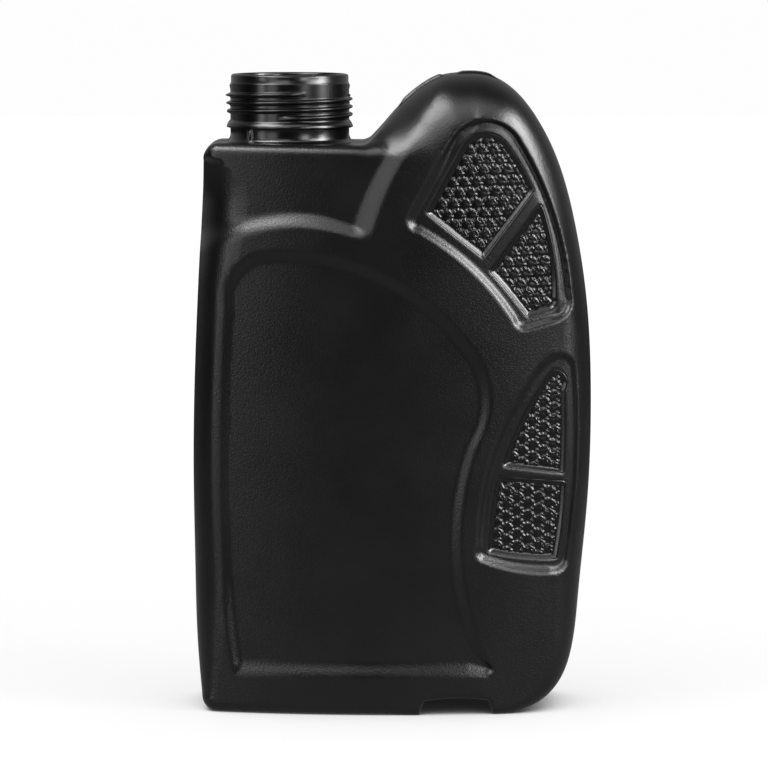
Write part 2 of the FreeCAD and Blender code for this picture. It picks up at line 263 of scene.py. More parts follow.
def ease(t):
    """0 below 0, 1 above 1 and a smooth climb between."""
    t = np.clip(t, 0, 1)
    return t * t * (3 - 2 * t)


centre_line = np.array([(0.0, 100.0)])
print("from the middle to the nearest side %.1f" % inside_by(centre_line, silhouette)[0])

# %% [markdown]
# ## What is pressed into the faces
#
# The front face carries a sunken label field, two sunken grips on the handle side with two textured
# pockets in each, and a shoulder that stands 2.5 mm further back. The back face is taken as the mirror
# image. Each recess is an outline and a depth, and the ramp between the outer and the inner line of the
# label field is wider at its ends, as on the photo. The walls of the grips get steeper toward the
# handle, and the frame round the upper pockets slopes down to its outer line there, which catches the
# light.

# %% Recess outlines and depths
LABEL_DEPTH = 1.5
GRIP_DEPTH = 1.8
POCKET_DEPTH = 1.3
SHOULDER_STEP = 2.5
HUMP_BLEND = 9.0
UPPER_GRIP_RAMP = 3.1
LOWER_GRIP_RAMP = 3.2
POCKET_RAMP = 2.3
STEEP_TOWARD = (0.8, 0.6)
STEEP_FROM = 122.0
STEEP_OVER = 14.0
UPPER_RAMP_CUT = 1.6
LOWER_RAMP_CUT = 1.2
LOWER_CUT_FROM = 58.0
LOWER_CUT_OVER = 8.0
FRAME_LEAN = 0.8
FRAME_WIDTH = 3.6

label_outer = outline(
    (-54.8, 12.5), ((-60.9, 80), (-58.6, 136)), ((-55.6, 150.5), (-46, 158.7)), ((-6.5, 153.5), (27, 127.2)),
    ((34.3, 110), (30.7, 94.2)), ((24.1, 58.6), (29.5, 27.2)), ((31.7, 21.8), (35, 15)), ((33, 12.5),))
label_inner = outline(
    (-51.4, 18.6), ((-55.8, 85), (-53.4, 138)), ((-50.2, 150), (-41.8, 153.9)), ((-6.5, 148), (22, 125.2)),
    ((28.9, 108.5), (24.4, 92.4)), ((19.2, 58), (25.4, 25.3)), ((28.2, 20.4), (33.4, 15.8)), ((26, 18.6),))
upper_grip = outline(
    (6.6, 170.8), ((20.3, 196),), ((31.3, 202.4), (42.7, 195.6)), ((54.8, 169.5), (60, 143)),
    ((59, 137.6), (54.6, 135.2)), ((46, 132.9),), ((43.4, 132.9), (41.4, 135.4)),
    ((27.2, 152.7), (9.2, 165.9)), ((6.2, 168), (6.6, 170.8)))
lower_grip = outline(
    (53.6, 121.6), ((58, 122.6), (61.6, 118)), ((62.6, 98), (61.2, 68.3)), ((59.4, 53),),
    ((58, 50.2), (54, 49.2)), ((44, 50), (31.4, 53.5)), ((29.8, 54.5), (29.7, 57.4)),
    ((33.3, 85), (46, 112.5)), ((49.8, 118.2), (53.6, 121.6)))
pockets = {
    "crown": outline(
        (12.3, 171.4), ((24.5, 193.8),), ((31, 197.6), (38.5, 193.8)), ((44, 185.3), (47.2, 178.7)),
        ((30.6, 156.8),), ((22, 163.6), (12.3, 171.4))),
    "flank": outline(
        (50, 173.2), ((53.8, 158.5), (54.9, 142)), ((54.6, 139.6), (52.5, 138.6)),
        ((45.9, 136.6),), ((40.4, 143.7), (33.6, 151.6))),
    "waist": outline(
        (55.2, 117.2), ((57.2, 116.4), (58, 111.1)), ((58.2, 97), (57.8, 82.9)), ((38.3, 85.6),),
        ((43.8, 99.5), (53.4, 115.4))),
    "hip": outline(
        (36.4, 81), ((58.2, 78.9),), ((57.3, 66), (55.5, 53.6)), ((44.5, 54.3), (33.2, 56.3)),
        ((34.2, 69), (36.4, 81))),
}
shoulder_low = np.array([(-70, 154.5), (-59.7, 160.9), (-50.8, 163.9), (-40.5, 166.3), (-31, 167.0),
                         (-20.7, 165.8), (-10.9, 163.4), (0, 160.5), (75, 135)])
shoulder_high = np.array([(-70, 161.5), (-60.6, 166.2), (-50.5, 169.3), (-41, 170.9), (-31, 171.4),
                          (-21.5, 169.9), (-11.9, 166.7), (0, 163.5), (75, 140)])
shoulder_low = smooth_points(shoulder_low, 0.5) - (0, 1.3)
shoulder_high = smooth_points(shoulder_high, 0.5) + (0, 0.7)
hump_front = smooth_points([(150, -18.0), (164.5, -10.6), (173.9, -7.2), (183, -3.2), (192.8, 2.2),
                            (205, 8.0), (220, 15.0)], 0.5)


def in_box(points, loop, reach):
    """Which points are within reach of the loop's box."""
    low, high = loop.min(axis=0) - reach, loop.max(axis=0) + reach
    return ((points > low) & (points < high)).all(axis=1)


def sunk(points, loop, ramp, reach=8.0):
    """0 outside the loop, 1 inside, with a soft ramp centred on it."""
    result = np.zeros(len(points))
    near = in_box(points, loop, reach)
    width = np.broadcast_to(ramp, len(points))[near]
    result[near] = ease(inside_by(points[near], loop) / width + 0.5)
    return result


def face_depth(points):
    """Distance of the face from the middle plane, before its outer edge is rounded."""
    x, z = points[:, 0], points[:, 1]
    depth = bowed_depth(x)
    low, high = np.interp(x, *shoulder_low.T), np.interp(x, *shoulder_high.T)
    hump = ease((x - np.interp(z, *hump_front.T)) / HUMP_BLEND + 0.5)
    depth = depth - SHOULDER_STEP * ease((z - low) / (high - low)) * (1 - hump)
    near = in_box(points, label_outer, 1.0)
    outer, inner = inside_by(points[near], label_outer), inside_by(points[near], label_inner)
    ramp = np.clip(outer, 0, None) / (np.clip(outer, 0, None) + np.clip(-inner, 0, None) + 1e-6)
    depth[near] -= LABEL_DEPTH * ease(ramp)
    steep = ease((STEEP_TOWARD[0] * x + STEEP_TOWARD[1] * z - STEEP_FROM) / STEEP_OVER)
    upper_ramp = UPPER_GRIP_RAMP - UPPER_RAMP_CUT * steep
    lower_ramp = LOWER_GRIP_RAMP - LOWER_RAMP_CUT * ease((z - LOWER_CUT_FROM) / LOWER_CUT_OVER)
    depth -= GRIP_DEPTH * (sunk(points, upper_grip, upper_ramp) + sunk(points, lower_grip, lower_ramp))
    near = in_box(points, upper_grip, 0.0)
    rim = inside_by(points[near], upper_grip)
    depth[near] -= FRAME_LEAN * steep[near] * np.where(rim > 0, np.clip(1 - rim / FRAME_WIDTH, 0, 1), 0)
    for loop in pockets.values():
        depth -= POCKET_DEPTH * sunk(points, loop, POCKET_RAMP)
    return depth


label_face = face_depth(np.array([(-20.0, 90.0)]))[0]
print("label face %.2f in front of the middle plane" % label_face)

# %% [markdown]
# ## The edge between face and side
#
# Each point of a face knows its distance to the silhouette. Within the edge radius of that line the face
# falls away on a quarter circle. The rows of points that follow the edge lie at even angles of that
# circle, so the highlight on it has no facets. Inside them lies a grid that is fine only where the face
# bends. On the handle side it carries on across the rounded edge where a grip's wall runs into it.
# Under each textured pocket the face is dipped, because the texture is laid over it later.

# %% Rounded edge and the points of one face
EDGE_STEPS = 9
THINNED_FROM = 4
ROW_TOLERANCE = 0.06
FINE = 0.65
BEND_LIMIT = 0.02
EDGE_GAP = 0.4
GRIP_SIDE = 13.0
GRIP_SIDE_GAP = 1.5


def edge_drop(inside, radius):
    """How far the rounded edge falls below the face at a distance inside the silhouette."""
    short = np.clip(radius - inside, 0, radius)
    return radius - np.sqrt(np.clip(radius ** 2 - short ** 2, 0, None))


def nearest_radius(points, loop, radii):
    """Edge radius at the loop point closest to each point."""
    found = np.empty(len(points))
    for first in range(0, len(points), PART):
        part = points[first:first + PART]
        gap = (part[:, None, 0] - loop[None, :, 0]) ** 2 + (part[:, None, 1] - loop[None, :, 1]) ** 2
        found[first:first + PART] = radii[gap.argmin(axis=1)]
    return found


def face_points(loop, normal, radii):
    """Points for one face: the silhouette, rows along its rounded edge and a grid that is fine at ramps."""
    rows = [loop]
    for step in range(1, EDGE_STEPS + 1):
        inset = radii * (1 - math.cos(math.radians(90 * step / EDGE_STEPS)))
        row = loop - normal * inset[:, None]
        if step >= THINNED_FROM:
            row, inset = row[::2], inset[::2]
        keep = inside_by(row, loop) > inset - ROW_TOLERANCE
        rows.append(row[keep])
    low, high = loop.min(axis=0), loop.max(axis=0)
    count = ((high - low) / FINE).astype(int) + 1
    column, line = np.meshgrid(np.arange(count[0]), np.arange(count[1]), indexing="ij")
    grid = np.stack([low[0] + FINE * column, low[1] + FINE * line], axis=-1)
    level = face_depth(grid.reshape(-1, 2)).reshape(count)
    bend = np.zeros(count)
    bend[1:-1, :] = np.abs(level[2:, :] + level[:-2, :] - 2 * level[1:-1, :])
    bend[:, 1:-1] = np.maximum(bend[:, 1:-1], np.abs(level[:, 2:] + level[:, :-2] - 2 * level[:, 1:-1]))
    spread = bend.copy()
    for shift in ((1, 0), (-1, 0), (0, 1), (0, -1)):
        spread = np.maximum(spread, np.roll(bend, shift, axis=(0, 1)))
    chosen = (spread > BEND_LIMIT) | ((column % 2 == 0) & (line % 2 == 0))
    points = grid[chosen]
    inside = inside_by(points, loop)
    clear = inside > nearest_radius(points, loop, radii) + EDGE_GAP
    on_ramp = (spread[chosen] > BEND_LIMIT) & (points[:, 0] > GRIP_SIDE) & (inside > GRIP_SIDE_GAP)
    rows.append(points[clear | on_ramp])
    return np.vstack(rows)


PATCH_MARGIN = 0.9
PATCH_EDGE = -0.6
PATCH_SINK = 0.5
DIP = 0.9


def dip(points):
    """How far the face gives way under the textured pockets."""
    result = np.zeros(len(points))
    for loop in pockets.values():
        near = in_box(points, loop, 1.0)
        deep = inside_by(points[near], loop)
        result[near] = np.maximum(result[near], DIP * ease((deep - PATCH_EDGE) / 1.0))
    return result


plan = face_points(silhouette, side_normal, edge_radius)
inside = inside_by(plan, silhouette)
inside[:len(silhouette)] = 0
reach = nearest_radius(plan, silhouette, edge_radius)
face_y = face_depth(plan) - edge_drop(inside, reach) - dip(plan)
ring = list(range(len(silhouette)))
flat, _, triangles, *_ = delaunay_2d_cdt([Vector(p) for p in plan], [], [ring], 1, 1e-6)
print("face points", len(plan), "after joining", len(flat), "triangles", len(triangles))

# %% [markdown]
# ## The band between the two faces
#
# The narrow sides join the faces all the way round. On the real bottle they show what the mould left
# there: a fine parting line in the middle plane, eleven level marks on the left side, two flat pads on
# the crown of the hump and a base pushed up in the middle so that the bottle stands on its rim. Rows of
# points run across the band, closer together where one of these features begins or ends.

# %% Rows across the band and what stands out of it
PARTING_HEIGHT = 0.13
PARTING_WIDTH = 0.28
MARK_COUNT = 11
MARK_PITCH = 13.8
MARK_FIRST = 16.7
MARK_DEPTH = 0.4
MARK_HALF_HEIGHT = 1.0
MARK_HALF_WIDTH = 8.0
MARK_SIDE_TO = -55.0
PAD_HALF_WIDTH = 10.0
LEFT_PAD = (3.4, 16.8)
RIGHT_PAD = (23.2, 34.2)
LEFT_PAD_HEIGHT = 0.55
RIGHT_PAD_HEIGHT = 0.5
PAD_FROM_Z = 200.0
PUSH_UP = 1.5
BASE_RIM = 9.0

inner_rows = np.array([0, 0.14, 0.3, 0.55, 1.6, 3.2, 5.0, 6.6, 7.6, 8.2, 8.9, 9.5, 9.9, 10.4])
outer_steps = np.linspace(0, 1, 13)[1:]
corner_y = face_y[:len(silhouette)]


def row_levels(edge):
    """The y of each row across the band at one point of the silhouette, from middle to face."""
    inner = inner_rows * min(1.0, (edge - 0.4) / inner_rows[-1])
    half = np.concatenate([inner, inner[-1] + (edge - inner[-1]) * outer_steps])
    return np.concatenate([-half[::-1], half[1:]])


def band_relief(x, y, z):
    """How far the band stands out of the plain side at a point."""
    out = PARTING_HEIGHT * np.exp(-(y / PARTING_WIDTH) ** 2)
    level = (z - MARK_FIRST + MARK_PITCH / 2) % MARK_PITCH - MARK_PITCH / 2
    marked = (x < MARK_SIDE_TO) & (z > MARK_FIRST - 3) & (z < MARK_FIRST + MARK_PITCH * (MARK_COUNT - 1) + 3)
    mark = (ease((MARK_HALF_HEIGHT - np.abs(level)) / 0.7 + 0.5)
            * ease((np.minimum(MARK_HALF_WIDTH, np.abs(y).max() - 0.6) - np.abs(y)) / 0.8 + 0.5))
    out = out - MARK_DEPTH * mark * marked
    across = ease((PAD_HALF_WIDTH - np.abs(y)) / 0.9 + 0.5)
    right = ease((x - RIGHT_PAD[0]) / 0.9 + 0.5) * ease((RIGHT_PAD[1] - x) / 3.0 + 0.5) * (z > PAD_FROM_Z)
    left = ease((x - LEFT_PAD[0]) / 2.4 + 0.5) * ease((LEFT_PAD[1] - x) / 1.2 + 0.5) * (z > PAD_FROM_Z)
    out = out + across * (RIGHT_PAD_HEIGHT * right + LEFT_PAD_HEIGHT * left)
    rim = np.minimum.reduce([(HALF_DEPTH - 3.0 - np.abs(y)) / BASE_RIM, (x + 62.0) / BASE_RIM,
                             (41.0 - x) / BASE_RIM])
    out = out - PUSH_UP * ease((rim - 0.55) / 0.9) * (z < 0.5)
    return out


band = []
for k, (x, z) in enumerate(silhouette):
    y = row_levels(corner_y[k])
    out = band_relief(np.full(len(y), x), y, np.full(len(y), z))
    out[[0, -1]] = 0
    band.append(np.column_stack([x + side_normal[k, 0] * out, y, z + side_normal[k, 1] * out]))
band = np.array(band)
print("band", band.shape, "deepest corner", round(float(corner_y.max()), 2))

# %% [markdown]
# ## One skin for the body
#
# The two faces and the band become one mesh, joined where they meet. The shoulder is left open under
# the neck, as the real bottle is. The hole is a little smaller than the outside of the neck, so its
# ragged edge lies hidden in the neck's wall.

# %% Join faces and band into the body
NECK_X = -35.1
BORE = 18.0
NECK_RADIUS = 20.2
HOLE_RADIUS = 19.9
HOLE_FROM_Z = 190.0


def build_mesh(name, points, faces):
    """A mesh object with smooth faces, given in millimetres."""
    mesh = bpy.data.meshes.new(name)
    corners = [tuple(int(i) for i in face) for face in faces]
    mesh.from_pydata((np.asarray(points) * MM).tolist(), [], corners)
    mesh.validate()
    mesh.polygons.foreach_set("use_smooth", [True] * len(mesh.polygons))
    mesh.update()
    thing = bpy.data.objects.new(name, mesh)
    bpy.context.scene.collection.objects.link(thing)
    return thing


def grid_faces(rows, columns, start=0):
    """Four-sided faces of a grid stored row by row, whose last row joins the first."""
    r = np.arange(rows)[:, None]
    c = np.arange(columns - 1)[None, :]
    here = r * columns + c
    there = (r + 1) % rows * columns + c
    return np.stack([here, here + 1, there + 1, there], axis=-1).reshape(-1, 4) + start


face_plan = np.array([(p.x, p.y) for p in flat])
front = np.column_stack([face_plan[:, 0], -face_y, face_plan[:, 1]])
back = front * np.array([1, -1, 1])
turned = [tuple(t) for t in triangles]
corners = face_plan[np.array(turned[0])]
area = np.cross(corners[1] - corners[0], corners[2] - corners[0])
if area < 0:
    turned = [t[::-1] for t in turned]
count = len(front)
shell_faces = turned + [tuple(i + count for i in t[::-1]) for t in turned]
quads = grid_faces(len(band), band.shape[1], start=2 * count)
middle = band.reshape(-1, 3)[quads - 2 * count]
over_neck = np.hypot(middle[..., 0] - NECK_X, middle[..., 1]).max(axis=1) < HOLE_RADIUS
over_neck &= middle[..., 2].min(axis=1) > HOLE_FROM_Z
quads = quads[~over_neck]
body = build_mesh("body_shell", np.vstack([front, back, band.reshape(-1, 3)]), shell_faces + quads.tolist())
work = bmesh.new()
work.from_mesh(body.data)
bmesh.ops.remove_doubles(work, verts=work.verts, dist=2e-6)
loose = [v for v in work.verts if not v.link_faces]
bmesh.ops.delete(work, geom=loose, context="VERTS")
bmesh.ops.recalc_face_normals(work, faces=work.faces)
open_edges = sum(1 for e in work.edges if e.is_boundary)
work.to_mesh(body.data)
work.free()
print("body triangles", sum(len(p.vertices) - 2 for p in body.data.polygons), "open edges", open_edges)

# %% [markdown]
# ## The neck
#
# The neck is the one part of the bottle that has to be exact, since a cap screws on it. It is turned as
# a profile: a flare out of the shoulder, the bead with a square underside, the plain wall and the rounded
# rim. The single thread is laid on that wall as a height that depends on angle and level, so its faded
# ends come to a point as they do in the mould. Where the two halves of the mould meet, a thin uneven
# flash of plastic runs up the neck, and a small rib stands under the bead.

# %% Neck profile, thread and small rib
NECK_TOP = 217.5
BEAD_RADIUS = 21.5
THREAD_PITCH = 2.7
THREAD_TURNS = 3.08
THREAD_CREST = 1.15
THREAD_HALF_WIDTH = 0.95
THREAD_FLANK = 0.75
THREAD_START = 202.8
THREAD_FIRST_ANGLE = -100.0
FADE_IN = 18
FADE_OUT = 14
FLASH_HALF_WIDTH = 0.55
RIB_ANGLE = 229.0
RIB_HALF_WIDTH = 2.2
RIB_HEIGHT = 0.9
BELOW_BEAD = 9

outer_profile = [(21.9, 193.6), (21.5, 194.5), (21.0, 194.75), (20.6, 195.1), (20.35, 195.7), (20.2, 196.6),
                 (20.2, 198.9), (20.25, 199.15), (21.1, 199.2), (21.45, 199.35), (BEAD_RADIUS, 199.7),
                 (21.45, 200.0), (21.2, 200.5), (20.75, 201.1), (20.4, 201.45), (20.22, 201.7)]
wall_levels = np.arange(201.85, 214.3, 0.13)
top_profile = [(20.2, 214.35), (20.1, 214.45), (19.95, 214.6), (19.95, 216.6), (19.85, 217.0), (19.6, 217.3),
               (19.2, 217.46), (18.8, NECK_TOP), (18.4, 217.4), (18.1, 217.15), (BORE, 216.8),
               (BORE, 214.0), (BORE, 208.0), (BORE, 201.0), (BORE, 196.0), (18.2, 194.6), (18.9, 194.1)]
profile = np.array(outer_profile + [(NECK_RADIUS, z) for z in wall_levels] + top_profile)
on_wall = np.zeros(len(profile), bool)
on_wall[len(outer_profile) - 2:len(outer_profile) + len(wall_levels)] = True
angles = np.radians(np.arange(0, 360, 1.0))


def thread_height(angle, level):
    """Height of the thread over the wall at an angle in degrees and a level."""
    height = np.zeros(np.broadcast(angle, level).shape)
    for lap in range(int(THREAD_TURNS) + 2):
        turn = (angle - THREAD_FIRST_ANGLE) % 360 / 360 + lap
        fade = ease(turn * FADE_IN) * ease((THREAD_TURNS - turn) * FADE_OUT)
        gap = np.abs(level - THREAD_START - THREAD_PITCH * turn)
        ridge = ease((THREAD_HALF_WIDTH - gap) / THREAD_FLANK)
        height = np.maximum(height, THREAD_CREST * fade * ridge * (turn <= THREAD_TURNS))
    return height


angle_grid, level_grid = np.meshgrid(np.degrees(angles), profile[:, 1], indexing="ij")
radius_grid = np.tile(profile[:, 0], (len(angles), 1)).astype(float)
radius_grid += np.where(on_wall[None, :], thread_height(angle_grid, level_grid), 0)
outer_side = np.arange(len(profile)) < len(outer_profile) + len(wall_levels) + 7
half_turn = angle_grid % 180
flash = np.exp(-(half_turn / FLASH_HALF_WIDTH) ** 2) + np.exp(-((half_turn - 180) / FLASH_HALF_WIDTH) ** 2)
ragged = 0.16 + 0.5 * np.clip(np.sin(level_grid * 2.1) + 0.4 * np.sin(level_grid * 5.3) - 0.35, 0, 1)
radius_grid += ragged * flash * outer_side[None, :]
rib = np.exp(-((angle_grid - RIB_ANGLE) / RIB_HALF_WIDTH) ** 2)
rib = rib * ease((199.1 - level_grid) / 0.4) * ease(level_grid - 194.6)
radius_grid += RIB_HEIGHT * rib * (np.arange(len(profile)) < BELOW_BEAD)[None, :]
neck_points = np.stack([NECK_X + radius_grid * np.cos(np.radians(angle_grid)),
                        radius_grid * np.sin(np.radians(angle_grid)), level_grid], axis=-1)
neck = build_mesh("threaded_neck", neck_points.reshape(-1, 3),
                  grid_faces(len(angles), len(profile)).tolist())
print("neck faces", len(neck.data.polygons))

# %% [markdown]
# ## The texture in the grips
#
# Each pocket floor is pressed with a close net of small overlapping rings, a common non-slip grain. The
# rings stand on a staggered lattice that leans over in the upper grip. Each ring is a thin ridge, high on
# two sides and low between, so that the eye reads slanted strokes. The field inside a ring swells a
# little, and tiny pimples sit where the rings cross. Each ring is shifted a little from its place,
# because the grain on the real bottle isn't perfectly regular.

# %% Height of the ring net on a pocket floor
NET_PITCH = 4.13
RING_RADIUS = 2.3
RIDGE_HALF_WIDTH = 0.46
RIDGE_HEIGHT = 0.72
NET_LEAN = {"crown": 28.0, "flank": 28.0, "waist": 0.0, "hip": 0.0}
STROKE_LEAN = {"crown": 15.0, "flank": 15.0, "waist": 35.0, "hip": 35.0}
RING_SHIFT = 0.28
RING_GROWTH = 0.22
LOWEST_RIDGE = 0.3
STROKE_SHARE = 0.6
CHANCE_SHARE = 0.1
SWELL = 0.12
CELL_CORNER = 0.577
PIMPLE_RADIUS = 0.42
PIMPLE_SHARE = 0.95


def lattice_near(u, v):
    """Centres of the staggered lattice round each point, as offsets from the point."""
    wide, tall = NET_PITCH * math.sqrt(3), NET_PITCH
    for shift_u, shift_v in ((0, 0), (0.5, 0.5)):
        cu = (np.round(u / wide - shift_u) + shift_u) * wide
        cv = (np.round(v / tall - shift_v) + shift_v) * tall
        for du in (-wide, 0, wide):
            for dv in (-tall, 0, tall):
                yield cu + du, cv + dv


def net_height(points, lean, stroke_lean, centre):
    """Height of ridges, swelling cells and pimples above the pocket floor."""
    turn, stroke = math.radians(lean), math.radians(stroke_lean)
    rel = points - centre
    u = rel[:, 0] * math.cos(turn) - rel[:, 1] * math.sin(turn)
    v = rel[:, 0] * math.sin(turn) + rel[:, 1] * math.cos(turn)
    height = np.zeros(len(points))
    for cu, cv in lattice_near(u, v):
        jitter = np.sin(np.round(cu * 7.1 + cv * 3.3) * 12.9898)
        other = np.sin(np.round(cu * 5.3 - cv * 4.7) * 78.233)
        ring_u, ring_v = cu + RING_SHIFT * jitter, cv + RING_SHIFT * other
        far = np.hypot(u - ring_u, v - ring_v)
        radius = RING_RADIUS + RING_GROWTH * other
        ridge = np.clip(1 - np.abs(far - radius) / RIDGE_HALF_WIDTH, 0, 1)
        bearing = np.arctan2(v - ring_v, u - ring_u)
        side_on = np.abs(np.cos(bearing - turn - stroke)) ** 1.5
        over = LOWEST_RIDGE + STROKE_SHARE * side_on + CHANCE_SHARE * jitter
        height = np.maximum(height, RIDGE_HEIGHT * over * (1 - (1 - ridge) ** 2))
        dome = SWELL * np.clip(1 - (far / (RING_RADIUS - 0.4)) ** 2, 0, 1)
        height = np.maximum(height, dome)
        for k in range(6):
            knot = math.radians(60 * k + 30)
            knot_u = NET_PITCH * CELL_CORNER * math.cos(knot)
            knot_v = NET_PITCH * CELL_CORNER * math.sin(knot)
            off = np.hypot(u - cu - knot_u, v - cv - knot_v)
            pimple = RIDGE_HEIGHT * PIMPLE_SHARE * ease(1.5 * (1 - off / PIMPLE_RADIUS))
            height = np.maximum(height, pimple)
    return height


hip_middle = pockets["hip"].mean(axis=0)
steps = np.arange(0, 7.5, 0.125)
sample = hip_middle + np.stack(np.meshgrid(steps, steps), axis=-1).reshape(-1, 2)
heights = net_height(sample, NET_LEAN["hip"], STROKE_LEAN["hip"], hip_middle)
print("net from %.2f to %.2f high" % (heights.min(), heights.max()))

# %% [markdown]
# ## The textured pockets
#
# The mould carries the net on the floors of the pockets alone, and it fades out short of their walls. It
# is far finer than the mesh of the face, so each grip's texture is a piece of its own on each face. The
# piece has the true floor and walls of the pockets, and its border dives under the face round it, so no
# gap shows between the two.

# %% Texture pieces, one for each grip and face
TEXTURE_GRID = 0.26
TEXTURE_MARGIN = 1.2
WALL_ROWS = (-0.6, -0.3, 0.0, 0.3, 0.6, 0.95)
WALL_ROW_TOLERANCE = 0.04
GRID_GAP = 0.18
NET_FROM = 0.8
NET_RISE = 0.6


def texture_points(loop):
    """Points over one pocket: rows along its outline and a fine grid inside."""
    low, high = loop.min(axis=0) - TEXTURE_MARGIN, loop.max(axis=0) + TEXTURE_MARGIN
    count = ((high - low) / TEXTURE_GRID).astype(int) + 1
    column, line = np.meshgrid(np.arange(count[0]), np.arange(count[1]), indexing="ij")
    shift = (line % 2) * 0.5
    across, up = low[0] + TEXTURE_GRID * (column + shift), low[1] + TEXTURE_GRID * line
    grid = np.stack([across, up], axis=-1).reshape(-1, 2)
    return grid[inside_by(grid, loop) > WALL_ROWS[-1] + GRID_GAP]


def pocket_texture(name, loop, side):
    """Points and triangles of the texture over one pocket on the front (-1) or back (+1) face."""
    normal = outward(loop)
    rim = loop + normal * PATCH_MARGIN
    rows = [rim]
    for inset in WALL_ROWS:
        row = loop - normal * inset
        rows.append(row[np.abs(inside_by(row, loop) - inset) < WALL_ROW_TOLERANCE])
    points = np.vstack(rows + [texture_points(loop)])
    border = list(range(len(rim)))
    placed, _, faces, *_ = delaunay_2d_cdt([Vector(p) for p in points], [], [border], 1, 1e-6)
    points = np.array([(p.x, p.y) for p in placed])
    deep = inside_by(points, loop)
    depth = face_depth(points)
    field = ease((deep - NET_FROM) / NET_RISE)
    lift = net_height(points, NET_LEAN[name], STROKE_LEAN[name], loop.mean(axis=0)) * field
    sink = PATCH_SINK * ease((PATCH_EDGE - deep) / (PATCH_MARGIN + PATCH_EDGE))
    out = depth + lift - sink
    return np.column_stack([points[:, 0], side * out, points[:, 1]]), [tuple(f) for f in faces]


def grip_texture(label, names, side):
    """One mesh for the pockets of a grip."""
    rows, faces, start = [], [], 0
    for name in names:
        points, triangles = pocket_texture(name, pockets[name], side)
        flip = side > 0
        faces += [tuple(i + start for i in (f[::-1] if flip else f)) for f in triangles]
        rows.append(points)
        start += len(points)
    piece = build_mesh(label, np.vstack(rows), faces)
    work = bmesh.new()
    work.from_mesh(piece.data)
    up = sum(f.normal.y for f in work.faces)
    if up * side < 0:
        bmesh.ops.reverse_faces(work, faces=work.faces)
        work.to_mesh(piece.data)
    work.free()
    return piece


grips = []
for side, face in ((-1, "front"), (1, "back")):
    grips.append(grip_texture("upper_grip_%s" % face, ("crown", "flank"), side))
    grips.append(grip_texture("lower_grip_%s" % face, ("waist", "hip"), side))
for piece in grips:
    print(piece.name, "triangles", len(piece.data.polygons))

# %% [markdown]
# ## Helpers for the looks
#
# The looks of the plastic, the table and the room are nodes that pass values on to each other. Four small
# helpers empty a set of nodes and make those that are used most, so that each look reads as a short list.

# %% Helpers for shader nodes


def fresh_nodes(owner):
    """The emptied nodes and the links of a material or a world."""
    owner.use_nodes = True
    owner.node_tree.nodes.clear()
    return owner.node_tree.nodes, owner.node_tree.links


def range_node(nodes, low, high, to_low, to_high):
    """A node that maps the range low to high onto to_low to to_high."""
    node = nodes.new("ShaderNodeMapRange")
    for socket, value in (("From Min", low), ("From Max", high), ("To Min", to_low), ("To Max", to_high)):
        node.inputs[socket].default_value = value
    return node


def noise_node(nodes, scale, detail):
    """A noise texture of a given scale."""
    node = nodes.new("ShaderNodeTexNoise")
    node.inputs["Scale"].default_value = scale
    node.inputs["Detail"].default_value = detail
    return node


def math_node(nodes, operation):
    """A node for one sum or product."""
    node = nodes.new("ShaderNodeMath")
    node.operation = operation
    return node


# %% [markdown]
# ## The plastic
#
# Black polyethylene is a satin black: it reflects about four per cent of the light, through a skin that
# has the grain of the blasted mould. Fine noise bends the surface a little and makes some patches
# glossier than others. The neck is formed by the machined neck ring and comes out smoother, and so do
# the grips, where the mould is cut by machine.

# %% Material of the body, the grips and the neck
PLASTIC_IOR = 1.5
GRAIN_HEIGHT = 0.0002
CLOUD_SCALE = 38.0
CLOUD_LOW = 0.3
CLOUD_HIGH = 0.7
DARK_PATCH = (0.85, 0.86, 0.9)
LIGHT_PATCH = (1.15, 1.15, 1.2)


def plastic(name, tone, rough_low, rough_high, grain, bump):
    """Satin black plastic with a fine grain."""
    material = bpy.data.materials.new(name)
    nodes, links = fresh_nodes(material)
    out = nodes.new("ShaderNodeOutputMaterial")
    skin = nodes.new("ShaderNodeBsdfPrincipled")
    skin.inputs["IOR"].default_value = PLASTIC_IOR
    place = nodes.new("ShaderNodeTexCoord")
    fine = noise_node(nodes, grain, 3.0)
    cloud = noise_node(nodes, CLOUD_SCALE, 4.0)
    rough = range_node(nodes, CLOUD_LOW, CLOUD_HIGH, rough_low, rough_high)
    colour = nodes.new("ShaderNodeValToRGB")
    stops = zip(colour.color_ramp.elements, (CLOUD_LOW, CLOUD_HIGH), (DARK_PATCH, LIGHT_PATCH))
    for stop, at, patch in stops:
        stop.position = at
        stop.color = (tone * patch[0], tone * patch[1], tone * patch[2], 1)
    press = nodes.new("ShaderNodeBump")
    press.inputs["Strength"].default_value = bump
    press.inputs["Distance"].default_value = GRAIN_HEIGHT
    links.new(place.outputs["Object"], fine.inputs["Vector"])
    links.new(place.outputs["Object"], cloud.inputs["Vector"])
    links.new(cloud.outputs["Fac"], rough.inputs["Value"])
    links.new(cloud.outputs["Fac"], colour.inputs["Fac"])
    links.new(rough.outputs["Result"], skin.inputs["Roughness"])
    links.new(colour.outputs["Color"], skin.inputs["Base Color"])
    links.new(fine.outputs["Fac"], press.inputs["Height"])
    links.new(press.outputs["Normal"], skin.inputs["Normal"])
    links.new(skin.outputs["BSDF"], out.inputs["Surface"])
    return material


body.data.materials.append(plastic("black_satin_plastic", 0.0008, 0.28, 0.34, 1500.0, 0.4))
neck.data.materials.append(plastic("black_smooth_plastic", 0.001, 0.20, 0.27, 900.0, 0.05))
grip_plastic = plastic("black_grip_plastic", 0.001, 0.18, 0.26, 900.0, 0.05)
for piece in grips:
    piece.data.materials.append(grip_plastic)
print("materials", [material.name for material in bpy.data.materials if material.name.startswith("black")])

